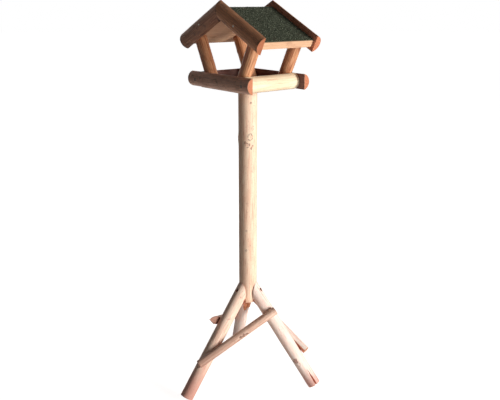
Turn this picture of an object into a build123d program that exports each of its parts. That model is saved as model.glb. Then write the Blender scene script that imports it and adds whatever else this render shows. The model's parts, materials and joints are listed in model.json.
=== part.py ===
"""Rustic bird feeder: a roofed feeding tray on a round pole with a braced three-legged stand.

Millimetres, +Z up.  The origin is on the ground under the middle of the pole.  The ridge runs
along Y, the near gable faces -Y, and the right-hand eave faces +X.
"""
from build123d import *
import os
from math import cos, radians, sin, sqrt, tan

os.makedirs("parts", exist_ok=True)

# ---------------------------------------------------------------- driving dimensions
# Stand
pole_dia = 62
tray_underside = 1037           # height of the pole's top end, where the tray sits on it
leg_dia = 46
leg_meeting_height = 375        # where the middle lines of the three legs would meet
flat_length = 75                # length of the tapered flat sawn on the pole for each leg
flat_taper = 5                  # degrees that each flat leans in towards the pole's end
# name: (direction seen from above, lean from the vertical), in degrees
legs = {"front": (-90, 36.7), "right": (30, 34.5), "left": (150, 35.3)}

# Braces: a stick with one side sawn flat, fixed low on one leg and high on the next
brace_dia = 30
brace_flat_offset = 8           # from the stick's middle to its flat side
brace_high_overhang = 19
# name: (low leg, high leg, distance up the low leg, distance up the high leg, overhang past
# the low crossing, angle of the high end's cut from square)
braces = {
    "front": ("front", "right", 157, 300, 42, 0),
    "right": ("right", "left", 157, 300, 45, 0),
    "left": ("left", "front", 138, 276, 45, 40),
}

# Tray: half-round rails around a floor board
rail_log_dia = 51
rail_saw_offset = 4.5           # the log is sawn this far off its middle
tray_width = 219                # between the flat faces of the two eave rails
house_depth = 202               # between the flat faces of the two gable rails
rail_overrun = 22.5             # gable rail beyond the outside of the eave rails
near_rail_shift = -5            # the near gable rail sits this far off centre, along X
floor_thickness = 18

# Roof
roof_pitch = 26.5               # degrees from level
ridge_above_tray = 244          # from the tray's underside to the ridge of the roof boards
roof_half_width = 188           # from the ridge to the eave edge of a board, level
board_thickness = 22
board_edge_radius = 2
felt_thickness = 2
rafter_log_dia = 56
rafter_saw_offset = 5.2
rafter_rise = 21                # rafter above the top of the boards, square to the slope
rafter_overrun = 9              # rafter beyond the board's eave edge, along the slope

# Posts
post_dia = 41
post_flat_depth = 1             # depth of the flat planed on each post for the gable frame
post_seat_gap = 0.3             # between a post and the tray rail that it leans on
far_left_standoff = 9           # the far left post stands this far in from its gable frame

# Screws: shank diameter, head diameter, length
pole_screw = (6, 12, 100)
rail_screw = (4.5, 9, 70)
leg_screw_shank, leg_screw_head = 5, 10
leg_screw_end = 4               # from a leg screw's end to the pole's middle
leg_screw_rise = 11             # leg screws, up the flat from its middle
screw_clearance = 0.1           # between a screw and its hole, all round
head_sink = 0.6                 # how far a head is let into the top of a round surface
pole_screw_circle = 32          # circle of the screws that hold the tray on the pole
pole_screw_count = 3
rail_screw_reach = 9            # rail screws, outwards from the eave rail's flat face

# ---------------------------------------------------------------- derived sizes
pole_radius = pole_dia / 2
leg_radius = leg_dia / 2
post_radius = post_dia / 2
pitch = radians(roof_pitch)

rail_height = 2 * sqrt((rail_log_dia / 2) ** 2 - rail_saw_offset**2)
rail_depth = rail_log_dia / 2 - rail_saw_offset
rafter_width = 2 * sqrt((rafter_log_dia / 2) ** 2 - rafter_saw_offset**2)
rafter_depth = rafter_log_dia / 2 - rafter_saw_offset

rail_middle = tray_underside + rail_height / 2
rail_top = tray_underside + rail_height
floor_top = tray_underside + floor_thickness
gable_rail_length = tray_width + 2 * (rail_depth + rail_overrun)
frame_face = house_depth / 2    # the flat faces of the gable frames are at y = +/- this

# The legs meet the pole half-way along its flats.
joint_radius = pole_radius - flat_length / 2 * tan(radians(flat_taper))
mean_lean = sum(lean for _, lean in legs.values()) / len(legs)
pole_bottom = leg_meeting_height - joint_radius / tan(radians(mean_lean)) - flat_length / 2

# A leg screw's head is sunk until its rim is just below the leg's sloping outer side.
mean_bevel = radians(mean_lean - flat_taper)
leg_screw_reach = leg_radius / cos(mean_bevel) - (leg_screw_head / 2 + leg_screw_rise) * tan(mean_bevel)
leg_screw = (leg_screw_shank, leg_screw_head, leg_screw_reach + joint_radius - leg_screw_end)

ridge_height = tray_underside + ridge_above_tray
board_slope_length = roof_half_width / cos(pitch) + rafter_rise * tan(pitch)
rafter_apex = ridge_height + rafter_rise / cos(pitch)
rafter_length = board_slope_length + rafter_overrun
board_underside = ridge_height - board_thickness / cos(pitch)

post_x = tray_width / 2 - (post_radius + post_seat_gap) / cos(pitch)    # at the rail's top
post_y = frame_face - post_radius + post_flat_depth
rail_shifts = {"near": near_rail_shift, "far": 0}

sides = {"right": 1, "left": -1}
gables = {"near": -1, "far": 1}


# ---------------------------------------------------------------- reusable shapes
class HalfRound(BaseSketchObject):
    """Section of a sawn log: the flat side lies on local Y, the round side faces local +X."""

    def __init__(self, log_dia, saw_offset, mode=Mode.ADD):
        with BuildSketch(Plane.XY) as section:
            with Locations((-saw_offset, 0)):
                Circle(log_dia / 2)
            Rectangle(log_dia, log_dia, align=(Align.MAX, Align.CENTER), mode=Mode.SUBTRACT)
        super().__init__(section.sketch, mode=mode)


class CountersunkScrew(BasePartObject):
    """Wood screw driven towards local -Z, with the top of its head at the local origin."""

    def __init__(self, shank_dia, head_dia, length, mode=Mode.ADD):
        head_height = (head_dia - shank_dia) / 2
        with BuildPart() as screw:
            with BuildSketch(Plane.XZ):
                with BuildLine():
                    Polyline(
                        (0, 0),
                        (head_dia / 2, 0),
                        (shank_dia / 2, -head_height),
                        (shank_dia / 2, -length),
                        (0, -length),
                        close=True,
                    )
                make_face()
            revolve(axis=Axis.Z)
        super().__init__(screw.part, mode=mode)


def screw_holes(size):
    """Cut the countersunk holes for one kind of screw at the current locations."""
    shank_dia, head_dia, length = size
    CounterSinkHole(
        shank_dia / 2 + screw_clearance,
        head_dia / 2 + screw_clearance,
        depth=length + screw_clearance,
        counter_sink_angle=90,
    )


def finish(builder, label):
    """Name a finished piece and write it."""
    builder.part.label = label
    export_step(builder.part, f"parts/{label}.step")


# ---------------------------------------------------------------- places
def outward(angle):
    """Level direction from the pole towards a leg."""
    return Vector(cos(radians(angle)), sin(radians(angle)), 0)


def leg_direction(name):
    """Direction up a leg, towards the pole."""
    angle, lean = legs[name]
    return Vector(0, 0, cos(radians(lean))) - outward(angle) * sin(radians(lean))


def leg_foot(name):
    """Middle of a leg's square-cut foot, which stands on its inner edge."""
    angle, lean = legs[name]
    foot_height = leg_radius * sin(radians(lean))
    reach = (leg_meeting_height - foot_height) * tan(radians(lean))
    return outward(angle) * reach + Vector(0, 0, foot_height)


def flat_plane(name):
    """The sloping flat where a leg's bevelled top lies against the pole, facing outwards."""
    angle, lean = legs[name]
    taper = radians(flat_taper)
    middle_height = leg_meeting_height - joint_radius / tan(radians(lean))
    middle = outward(angle) * joint_radius + Vector(0, 0, middle_height)
    return Plane(middle, z_dir=outward(angle) * cos(taper) - Vector(0, 0, sin(taper)))


def leg_screw_plane(name):
    """A screw square to the flat, its head let into the leg's outer side."""
    flat = flat_plane(name)
    taper = radians(flat_taper)
    up_the_flat = outward(legs[name][0]) * sin(taper) + Vector(0, 0, cos(taper))
    return Plane(
        flat.origin + up_the_flat * leg_screw_rise + flat.z_dir * leg_screw_reach, z_dir=flat.z_dir
    )


def brace_geometry(name):
    """Start, direction, length and outward normal of one brace.

    The middle lines of two legs lie in one plane.  The brace's flat side lies on the parallel
    plane that touches the outside of both legs.
    """
    low_leg, high_leg, low_reach, high_reach, low_overhang, _ = braces[name]
    low = leg_foot(low_leg) + leg_direction(low_leg) * low_reach
    high = leg_foot(high_leg) + leg_direction(high_leg) * high_reach
    normal = leg_direction(low_leg).cross(leg_direction(high_leg)).normalized()
    if normal.dot(outward(legs[low_leg][0])) < 0:
        normal = -normal
    run = high - low
    start = low + normal * leg_radius - run.normalized() * low_overhang
    length = run.length + low_overhang + brace_high_overhang
    return start, run.normalized(), length, normal


def slope_point(side, along, down, y):
    """Point in the roof, from the rafters' apex: along the slope and square down from it."""
    x = side * (along * cos(pitch) - down * sin(pitch))
    return Vector(x, y, rafter_apex - along * sin(pitch) - down * cos(pitch))


def rail_screw_planes(gable):
    """Screws through a gable rail into the ends of both eave rails."""
    x = tray_width / 2 + rail_screw_reach
    y = gable * (frame_face + rail_depth - head_sink)
    return [Plane((side * x, y, rail_middle), z_dir=(0, gable, 0)) for side in sides.values()]


def post_axis(side):
    """Direction up a post, square to the roof board that it carries."""
    return Vector(side * sin(pitch), 0, cos(pitch))


def post_point(side, gable, height):
    """Point on a post's axis at a given height."""
    is_far_left = (side, gable) == (sides["left"], gables["far"])
    standoff = far_left_standoff if is_far_left else 0
    x = post_x + (height - rail_top) * tan(pitch)
    return Vector(side * x, gable * (post_y - standoff), height)


def post_head_plane(side, gable):
    """The post's top end against the roof board's underside."""
    level = (board_underside - (post_x - rail_top * tan(pitch)) * tan(pitch)) / (1 + tan(pitch) ** 2)
    return Plane(post_point(side, gable, level), z_dir=post_axis(side))


pole_screws = [
    Plane(outward(90 + 360 / pole_screw_count * turn) * (pole_screw_circle / 2) + Vector(0, 0, floor_top))
    for turn in range(pole_screw_count)
]

# ---------------------------------------------------------------- stand
with BuildPart() as pole:
    with BuildSketch(Plane.XY.offset(pole_bottom)):
        Circle(pole_radius)
    extrude(amount=tray_underside - pole_bottom)
    for name in legs:
        split(bisect_by=flat_plane(name), keep=Keep.BOTTOM)
    with Locations(*pole_screws):
        screw_holes(pole_screw)
    with Locations(*[leg_screw_plane(name) for name in legs]):
        screw_holes(leg_screw)
finish(pole, "pole")

for name, (angle, lean) in legs.items():
    foot, direction = leg_foot(name), leg_direction(name)
    with BuildPart() as leg:
        with BuildSketch(Plane(foot, x_dir=Vector(0, 0, 1).cross(outward(angle)), z_dir=direction)):
            Circle(leg_radius)
        extrude(amount=(leg_meeting_height - foot.Z) / cos(radians(lean)))
        split(bisect_by=flat_plane(name), keep=Keep.TOP)
        with Locations(leg_screw_plane(name)):
            screw_holes(leg_screw)
    finish(leg, f"leg_{name}")

for name, (*_, end_cut) in braces.items():
    start, direction, length, normal = brace_geometry(name)
    cut_point = start + direction * length + normal * brace_flat_offset
    cut_facing = direction * cos(radians(end_cut)) - normal * sin(radians(end_cut))
    with BuildPart() as brace:
        with BuildSketch(Plane(start, x_dir=normal, z_dir=direction)):
            HalfRound(brace_dia, -brace_flat_offset)
        extrude(amount=length + brace_dia)
        split(bisect_by=Plane(cut_point, z_dir=cut_facing), keep=Keep.BOTTOM)
    finish(brace, f"brace_{name}")

# ---------------------------------------------------------------- tray
with BuildPart() as tray_floor:
    with BuildSketch(Plane.XY.offset(tray_underside)):
        Rectangle(tray_width, house_depth)
    extrude(amount=floor_thickness)
    with Locations(*pole_screws):
        screw_holes(pole_screw)
finish(tray_floor, "tray_floor")

for name, gable in gables.items():
    with BuildPart() as gable_rail:
        middle = (rail_shifts[name], gable * frame_face, rail_middle)
        with BuildSketch(Plane(middle, x_dir=(0, gable, 0), z_dir=(1, 0, 0))):
            HalfRound(rail_log_dia, rail_saw_offset)
        extrude(amount=gable_rail_length / 2, both=True)
        with Locations(*rail_screw_planes(gable)):
            screw_holes(rail_screw)
    finish(gable_rail, f"gable_rail_{name}")

for name, side in sides.items():
    with BuildPart() as eave_rail:
        middle = (side * tray_width / 2, 0, rail_middle)
        with BuildSketch(Plane(middle, x_dir=(side, 0, 0), z_dir=(0, 1, 0))):
            HalfRound(rail_log_dia, rail_saw_offset)
        extrude(amount=house_depth / 2, both=True)
        with Locations(*rail_screw_planes(1), *rail_screw_planes(-1)):
            screw_holes(rail_screw)
    finish(eave_rail, f"eave_rail_{name}")

# ---------------------------------------------------------------- posts
for side_name, side in sides.items():
    for gable_name, gable in gables.items():
        with BuildPart() as post:
            with BuildSketch(Plane(post_point(side, gable, rail_top), z_dir=post_axis(side))):
                Circle(post_radius)
            extrude(amount=ridge_above_tray, both=True)
            split(bisect_by=Plane.XY.offset(floor_top), keep=Keep.TOP)
            split(bisect_by=post_head_plane(side, gable), keep=Keep.BOTTOM)
            split(bisect_by=Plane((0, gable * frame_face, 0), z_dir=(0, gable, 0)), keep=Keep.BOTTOM)
        finish(post, f"post_{gable_name}_{side_name}")

# ---------------------------------------------------------------- roof
for side_name, side in sides.items():
    for gable_name, gable in gables.items():
        start = slope_point(side, 0, rafter_width / 2, gable * frame_face)
        down_slope = (side * cos(pitch), 0, -sin(pitch))
        with BuildPart() as rafter:
            with BuildSketch(Plane(start, x_dir=(0, gable, 0), z_dir=down_slope)):
                HalfRound(rafter_log_dia, rafter_saw_offset)
            extrude(amount=rafter_length)
            split(bisect_by=Plane((0, 0, 0), z_dir=(side, 0, 0)), keep=Keep.TOP)
        finish(rafter, f"rafter_{gable_name}_{side_name}")

for side_name, side in sides.items():
    eave_drop = roof_half_width * tan(pitch)
    eave_x = roof_half_width - board_thickness * sin(pitch)
    eave_z = ridge_height - eave_drop - board_thickness * cos(pitch)
    with BuildPart() as roof_board:
        with BuildSketch(Plane.XZ):
            with BuildLine():
                Polyline(
                    (0, ridge_height),
                    (side * roof_half_width, ridge_height - eave_drop),
                    (side * eave_x, eave_z),
                    (0, board_underside),
                    close=True,
                )
            make_face()
        extrude(amount=house_depth / 2, both=True)
        eave_edges = roof_board.edges().filter_by(Axis.Y).group_by(Axis.Z)[:2]
        fillet([edge for group in eave_edges for edge in group], board_edge_radius)
    finish(roof_board, f"roof_board_{side_name}")

with BuildPart() as roof_felt:
    felt_ridge = ridge_height + felt_thickness / cos(pitch)
    felt_reach = roof_half_width - board_edge_radius * cos(pitch)
    with BuildSketch(Plane.XZ):
        with BuildLine():
            Polyline(
                (0, ridge_height),
                (felt_reach, ridge_height - felt_reach * tan(pitch)),
                (
                    felt_reach + felt_thickness * sin(pitch),
                    ridge_height - felt_reach * tan(pitch) + felt_thickness * cos(pitch),
                ),
                (0, felt_ridge),
                close=True,
            )
        make_face()
        mirror(about=Plane.YZ)
    extrude(amount=house_depth / 2, both=True)
finish(roof_felt, "roof_felt")

# ---------------------------------------------------------------- screws
screw_groups = {
    "pole_screws": (pole_screw, pole_screws),
    "leg_screws": (leg_screw, [leg_screw_plane(name) for name in legs]),
    "rail_screws": (rail_screw, rail_screw_planes(-1) + rail_screw_planes(1)),
}
for name, (size, places) in screw_groups.items():
    with BuildPart() as screws:
        with Locations(*places):
            CountersunkScrew(*size)
    finish(screws, name)
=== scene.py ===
"""Looks for the rustic bird feeder: carved timber, roofing felt, screws, light and camera.

Metres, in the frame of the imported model: the pole's middle is the Z axis, the ridge runs along
Y, the near gable faces -Y.  Each log is read from its solid (middle line, radius, cuts) and
made again with the uneven surface, knots and worn edges of peeled timber.
"""
import json
import math

import bmesh
import bpy
import numpy as np
from mathutils import Euler, Matrix, Vector, noise


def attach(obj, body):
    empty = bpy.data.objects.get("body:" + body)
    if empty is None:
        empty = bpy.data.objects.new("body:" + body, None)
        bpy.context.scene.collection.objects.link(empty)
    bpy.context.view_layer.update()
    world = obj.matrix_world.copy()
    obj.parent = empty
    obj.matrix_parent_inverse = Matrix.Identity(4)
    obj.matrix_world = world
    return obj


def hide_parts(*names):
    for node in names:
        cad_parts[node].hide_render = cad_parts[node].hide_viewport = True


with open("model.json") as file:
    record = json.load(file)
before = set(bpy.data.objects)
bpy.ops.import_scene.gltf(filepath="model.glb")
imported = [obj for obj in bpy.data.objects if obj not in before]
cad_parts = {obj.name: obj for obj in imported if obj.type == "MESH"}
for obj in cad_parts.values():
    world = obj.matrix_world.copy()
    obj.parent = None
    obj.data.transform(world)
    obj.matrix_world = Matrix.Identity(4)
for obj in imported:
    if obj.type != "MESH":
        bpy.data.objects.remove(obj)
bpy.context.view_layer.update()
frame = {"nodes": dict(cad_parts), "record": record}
slots = {part["node"]: part["material_slot"] for part in frame["record"]["subparts"]}
scene = bpy.context.scene


# ---- node shorthand
def srgb(paint):
    """A colour written as red, green and blue in hex, as the linear colour that a shader takes."""
    def linear(channel):
        share = channel / 255
        return share / 12.92 if share <= 0.04045 else ((share + 0.055) / 1.055) ** 2.4
    return (*map(linear, bytes.fromhex(paint)), 1.0)


class Tree:
    """Short calls that add and join nodes in a shader or geometry tree."""

    def __init__(self, tree):
        self.tree = tree

    def add(self, kind, inputs=None, **settings):
        """A new node: its settings first, then its inputs by name or number."""
        node = self.tree.nodes.new(kind)
        for name, value in settings.items():
            setattr(node, name, value)
        for name, value in (inputs or {}).items():
            self.feed(node.inputs[name], value)
        return node

    def get(self, kind, inputs=None, output=0, **settings):
        """One output of a new node."""
        return self.add(kind, inputs, **settings).outputs[output]

    def feed(self, socket, value):
        """Join a socket to another or to each of a list, or set the value that it holds."""
        for source in value if isinstance(value, list) else [value]:
            if isinstance(source, bpy.types.NodeSocket):
                self.tree.links.new(source, socket)
            else:
                socket.default_value = source

    def find(self, kind):
        return next(node for node in self.tree.nodes if node.type == kind)

    def maths(self, operation, first, second=0.0):
        return self.get("ShaderNodeMath", {0: first, 1: second}, operation=operation)

    def plus(self, first, second):
        return self.maths("ADD", first, second)

    def minus(self, first, second):
        return self.maths("SUBTRACT", first, second)

    def times(self, first, second):
        return self.maths("MULTIPLY", first, second)

    def summed(self, first, *more):
        """A value and more values, each of these with its weight."""
        for value, weight in more:
            first = self.plus(first, self.times(value, weight))
        return first

    def vector(self, operation, first, second=(0, 0, 0)):
        output = "Value" if operation == "LENGTH" else "Vector"
        return self.get("ShaderNodeVectorMath", {0: first, 1: second}, output, operation=operation)

    def scaled(self, vector, factor):
        return self.get("ShaderNodeVectorMath", {0: vector, "Scale": factor}, operation="SCALE")

    def drawn_out(self, place, share):
        """A place whose last coordinate runs slower, so that patterns stretch along the grain."""
        return self.vector("MULTIPLY", place, (1, 1, share))

    def combined(self, x=0.0, y=0.0, z=0.0):
        return self.get("ShaderNodeCombineXYZ", {"X": x, "Y": y, "Z": z})

    def height_of(self, vector):
        return self.get("ShaderNodeSeparateXYZ", {"Vector": vector}, "Z")

    def object_place(self):
        return self.get("ShaderNodeTexCoord", output="Object")

    def ramp(self, value, low, high, to_low=0.0, to_high=1.0):
        """Smooth step of a value from one range to another."""
        return self.get("ShaderNodeMapRange", {
            "Value": value, "From Min": low, "From Max": high, "To Min": to_low, "To Max": to_high},
            interpolation_type="SMOOTHSTEP")

    def mix(self, share, first, second):
        return self.get("ShaderNodeMix", {0: share, 6: first, 7: second}, 2, data_type="RGBA")

    def layered(self, ground, *layers):
        """A colour with others laid over it in turn, each given after its share."""
        for share, colour in layers:
            ground = self.mix(share, ground, colour)
        return ground

    def noise(self, vector, scale, detail=3.0, roughness=0.55, distortion=0.0, output="Fac"):
        return self.get("ShaderNodeTexNoise", {
            "Vector": vector, "Scale": scale, "Detail": detail, "Roughness": roughness,
            "Distortion": distortion}, output)

    def waves(self, vector, scale, distortion, direction):
        return self.get("ShaderNodeTexWave", {
            "Vector": vector, "Scale": scale, "Distortion": distortion, "Detail": 2.0},
            "Fac", bands_direction=direction)

    def seen(self):
        """1 for what the camera, a mirror or clear glass sees, 0 for what lights the object."""
        rays = self.add("ShaderNodeLightPath").outputs
        seen = self.maths("MAXIMUM", rays["Is Camera Ray"], rays["Is Glossy Ray"])
        return self.maths("MAXIMUM", seen, rays["Is Transmission Ray"])


class Finish(Tree):
    """A material in the making, with its Principled shader."""

    def __init__(self, name):
        self.material = bpy.data.materials.new(name)
        self.material.use_nodes = True
        super().__init__(self.material.node_tree)
        self.shader = self.find("BSDF_PRINCIPLED")

    def attribute(self, name, output="Fac"):
        return self.get("ShaderNodeAttribute", output=output, attribute_name=name)

    def use(self, group, **inputs):
        """The outputs of a shader group; an underscore in an input's name stands for a space."""
        named = {name.replace("_", " "): value for name, value in inputs.items()}
        return self.add("ShaderNodeGroup", named, node_tree=group).outputs

    def done(self, colour, roughness, specular, height=None, strength=0.0, depth=0.0):
        """The finished material, with bump of this strength and depth if it has a height."""
        looks = {"Base Color": colour, "Roughness": roughness, "Specular IOR Level": specular}
        if height is not None:
            looks["Normal"] = self.get("ShaderNodeBump", {
                "Height": height, "Strength": strength, "Distance": depth})
        for name, value in looks.items():
            self.feed(self.shader.inputs[name], value)
        return self.material


# ---- shared effects
def new_tree(kind, name, inputs, outputs):
    """An empty node tree: itself, the helper that fills it and its two ends.

    A socket is given by its default, which is whole for a seed, or by the name of its kind.
    """
    group = bpy.data.node_groups.new(name, kind)
    for in_out, sockets in (("INPUT", inputs), ("OUTPUT", outputs)):
        for label, default in sockets.items():
            is_kind = isinstance(default, str)
            word = default if is_kind else "Int" if isinstance(default, int) else "Float"
            socket = group.interface.new_socket(label, in_out=in_out, socket_type="NodeSocket" + word)
            if not is_kind:
                socket.default_value = default
    tree = Tree(group)
    return group, tree, tree.add("NodeGroupInput").outputs, tree.add("NodeGroupOutput").inputs


def new_effect(name, inputs, *outputs):
    """An empty shader group over a place, whose results are numbers."""
    return new_tree("ShaderNodeTree", name, {"Place": "Vector", **inputs}, dict.fromkeys(outputs, "Float"))


def make_timber_grain():
    """Growth rings, streaks, blotches, flecks and dimples, in a log's own coordinates."""
    group, t, given, out = new_effect(
        "timber grain", {"Ring Width": 0.0035, "Streak Fineness": 1.0, "Wander": 0.004},
        "Rings", "Streaks", "Blotches", "Flecks", "Dimples")
    bent = t.noise(t.drawn_out(given["Place"], 0.3), 11.0, 2.0, 0.5, output="Color")
    shift = t.scaled(t.vector("SUBTRACT", bent, (0.5, 0.5, 0.5)), t.times(given["Wander"], 2.0))
    place = t.vector("ADD", given["Place"], shift)
    ring = t.maths("DIVIDE", t.vector("LENGTH", t.drawn_out(place, 0)), given["Ring Width"])
    t.feed(out["Rings"], t.maths("POWER", t.maths("FRACT", ring), 2.5))
    fine = t.scaled(t.drawn_out(place, 0.05), given["Streak Fineness"])
    t.feed(out["Streaks"], t.noise(fine, 260.0, 6.0, 0.6))
    t.feed(out["Blotches"], t.noise(t.drawn_out(place, 0.42), 34.0, 4.0, 0.6, 0.4))
    t.feed(out["Flecks"], t.ramp(t.noise(t.drawn_out(place, 0.55), 330.0, 3.0, 0.65), 0.595, 0.675))
    t.feed(out["Dimples"], t.noise(t.drawn_out(place, 0.55), 120.0, 2.0, 0.5))
    return group


def make_knot_figure():
    """Broken dark rim, ringed heart and pale collar of a knot, from how near a point is to its middle."""
    group, t, given, out = new_effect(
        "knot figure", {"Nearness": 0.0, "Boldness": 1.0}, "Rim", "Heart", "Rings", "Collar")
    depth = t.maths("LOGARITHM", t.maths("MAXIMUM", given["Nearness"], 0.00001), math.e)
    uneven = t.minus(t.noise(given["Place"], 130.0, 3.0, 0.6), 0.5)
    gap = t.summed(t.maths("SQRT", t.times(depth, -1.0)), (uneven, 1.1))
    broken = t.ramp(t.noise(t.vector("ADD", given["Place"], (0.4, 0.2, 0.0)), 190.0, 2.0), 0.40, 0.58)
    rim = t.times(t.times(t.ramp(gap, 0.98, 0.76), t.ramp(gap, 0.50, 0.68)), broken)
    t.feed(out["Rim"], t.maths("MINIMUM", t.times(rim, given["Boldness"]), 1.0))
    solid = t.times(t.ramp(gap, 0.74, 0.50), t.ramp(given["Boldness"], 0.85, 1.4))
    pith = t.times(t.ramp(gap, 0.26, 0.12, 0.0, 0.8), given["Boldness"])
    t.feed(out["Heart"], t.maths("MAXIMUM", solid, pith))
    t.feed(out["Rings"], t.maths("FRACT", t.times(gap, 6.0)))
    t.feed(out["Collar"], t.times(t.ramp(gap, 0.90, 1.02), t.ramp(gap, 1.9, 1.2)))
    return group


def make_weathering():
    """Stain in broad patches and at the sawn rims, where water gets in."""
    group, t, given, out = new_effect("weathering", {"Rim": 0.0, "Amount": 0.5, "Patch Size": 0.06}, "Stain")
    scale = t.maths("DIVIDE", 1.0, given["Patch Size"])
    patch = t.noise(t.drawn_out(given["Place"], 0.5), scale, 5.0, 0.62, 0.6)
    threshold = t.minus(0.78, t.times(given["Amount"], 0.36))
    t.feed(out["Stain"], t.ramp(t.summed(patch, (given["Rim"], 0.16)), threshold, t.plus(threshold, 0.14)))
    return group


grain_group = make_timber_grain()
knot_group = make_knot_figure()
weather_group = make_weathering()


# ---- finishes
knot_brown = srgb("563024")
dark_bark = (0.05, 0.035, 0.02, 1.0)


def peeled_timber(name, colours, stain_amount, patch_size, bark=(dark_bark, 0.0), painted_foot_shade=None, roughness=0.62):
    """Round side of a peeled log, from its pale, mid, dark and stain colours.

    bark is the colour and amount of what the peeling left; the pair for the foot gives the strength
    of painted shade, the stain colour laid over the lower part of the log, and about how high it goes.
    """
    t = Finish(name)
    bark_colour, bark_amount = bark
    pale, mid, dark, stain = map(srgb, colours.split())
    place = t.attribute("timber", "Vector")
    rim = t.attribute("rim")
    grain = t.use(grain_group, Place=place)
    knots = t.use(knot_group, Nearness=t.attribute("knot"), Boldness=t.attribute("bold"), Place=place)
    weather = t.use(weather_group, Place=place, Rim=rim, Amount=stain_amount, Patch_Size=patch_size)
    elsewhere = t.vector("ADD", place, (0.3, 0.7, 0.1))
    skin = t.use(weather_group, Place=elsewhere, Rim=rim, Amount=bark_amount, Patch_Size=0.016)
    left_bark = t.times(skin["Stain"], t.ramp(grain["Blotches"], 0.36, 0.54))
    colour = t.layered(
        pale,
        (t.ramp(grain["Streaks"], 0.36, 0.64), mid),
        (t.ramp(grain["Blotches"], 0.48, 0.70, 0.0, 0.8), mid),
        (t.times(t.ramp(grain["Streaks"], 0.55, 0.74), t.ramp(grain["Blotches"], 0.40, 0.58)), dark),
        (t.times(weather["Stain"], 0.65), stain))
    # painted shade: the stain colour over the lower part of the log, stronger towards the bottom
    if painted_foot_shade:
        strength, reach = painted_foot_shade
        above_ground = t.summed(t.height_of(t.object_place()), (t.minus(grain["Blotches"], 0.5), 0.1))
        colour = t.mix(t.ramp(above_ground, reach, 0.2 * reach, 0.0, strength), colour, stain)
    heart = t.mix(t.ramp(knots["Rings"], 0.55, 0.95, 0.0, 0.7), dark, knot_brown)
    colour = t.layered(
        colour,
        (t.times(grain["Flecks"], 0.5), dark),
        (t.times(left_bark, 0.85), bark_colour),
        (t.times(knots["Collar"], 0.45), pale),
        (t.times(knots["Heart"], 0.8), heart),
        (t.times(knots["Rim"], 0.8), knot_brown))
    rough = t.summed(roughness, (t.minus(grain["Streaks"], 0.5), 0.35), (left_bark, 0.2))
    height = t.summed(grain["Streaks"], (weather["Stain"], -0.3), (grain["Flecks"], -0.35),
                      (knots["Rim"], -0.9), (grain["Dimples"], 0.6), (left_bark, 0.25))
    return t.done(colour, rough, 0.35, height, 0.6, 0.0007)


def end_grain(name, colours):
    """Cross-cut end: growth rings round the pith, fine pores and the marks of the saw."""
    t = Finish(name)
    pale, ring, pore = map(srgb, colours.split())
    place = t.attribute("timber", "Vector")
    grain = t.use(grain_group, Place=place, Ring_Width=0.0028, Wander=0.0022)
    speck = t.ramp(t.noise(place, 900.0, 3.0), 0.58, 0.68, 0.0, 0.55)
    colour = t.layered(
        pale,
        (t.times(grain["Rings"], 0.75), ring),
        (t.ramp(grain["Blotches"], 0.45, 0.7, 0.0, 0.4), ring),
        (speck, pore),
        (t.ramp(t.noise(place, 120.0, 2.0, 0.5), 0.60, 0.72, 0.0, 0.35), pore))
    saw = t.waves(place, 190.0, 3.0, "DIAGONAL")
    return t.done(colour, 0.86, 0.2, t.summed(grain["Rings"], (saw, 0.5), (speck, -1.0)), 0.6, 0.0006)


def sawn_board(name, colours, along_y=False):
    """Sawn face of a half log, or a whole board along Y: flat figure and fine saw lines."""
    t = Finish(name)
    pale, mid, dark = map(srgb, colours.split())
    if along_y:
        place = t.get("ShaderNodeMapping", {
            "Vector": t.object_place(), "Location": (0.031, 0, -0.9), "Rotation": (math.pi / 2, 0, 0)})
    else:
        place = t.attribute("timber", "Vector")
    grain = t.use(grain_group, Place=place, Ring_Width=0.0048, Wander=0.012, Streak_Fineness=1.3)
    colour = t.layered(
        pale,
        (t.times(grain["Rings"], 0.65), mid),
        (t.ramp(grain["Streaks"], 0.45, 0.72, 0.0, 0.6), mid),
        (t.ramp(grain["Blotches"], 0.52, 0.74, 0.0, 0.7), dark),
        (t.ramp(t.noise(place, 650.0, 2.0), 0.60, 0.70, 0.0, 0.3), dark))
    height = t.summed(grain["Streaks"], (t.waves(place, 110.0, 1.5, "Z"), 0.22))
    return t.done(colour, t.ramp(grain["Streaks"], 0.3, 0.7, 0.62, 0.8), 0.3, height, 0.5, 0.0007)


def felt_sheet_finish():
    """Bitumen felt under its grit: near-black green with worn, lighter scuffs."""
    t = Finish("roofing felt")
    place = t.object_place()
    grit = t.noise(place, 620.0, 4.0, 0.7)
    colour = t.layered(
        srgb("222820"),
        (t.ramp(grit, 0.38, 0.66), srgb("585c4a")),
        (t.ramp(t.noise(place, 28.0, 4.0, 0.6), 0.50, 0.72, 0.0, 0.5), srgb("3e382e")),
        (t.ramp(t.noise(place, 1100.0, 2.0), 0.68, 0.76, 0.0, 0.6), srgb("96988a")))
    return t.done(colour, 0.92, 0.18, grit, 0.9, 0.0012)


def grit_finish():
    """Slate chips in greens and greys; every stone carries its own shade."""
    t = Finish("felt grit")
    drift = t.minus(t.noise(t.object_place(), 260.0, 2.0, 0.6), 0.5)
    shade = t.summed(t.attribute("shade"), (drift, 3.0))
    colour = t.layered(
        srgb("131b16"),
        (t.ramp(shade, 0.34, 0.66), srgb("68705d")),
        (t.ramp(shade, 0.78, 1.2), srgb("a2aa96")))
    return t.done(colour, t.ramp(shade, 0.0, 1.0, 0.95, 0.7), 0.2)


def bark_finish():
    """Flakes of inner bark that the peeling iron left behind."""
    t = Finish("bark flakes")
    fibre = t.noise(t.object_place(), 900.0, 3.0, 0.7)
    colour = t.layered(
        srgb("a88470"),
        (t.attribute("shade"), srgb("e8bea4")),
        (t.ramp(fibre, 0.4, 0.65, 0.0, 0.5), srgb("967c64")))
    return t.done(colour, t.ramp(fibre, 0.3, 0.7, 0.75, 0.95), 0.08, fibre, 0.5, 0.0003)


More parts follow.
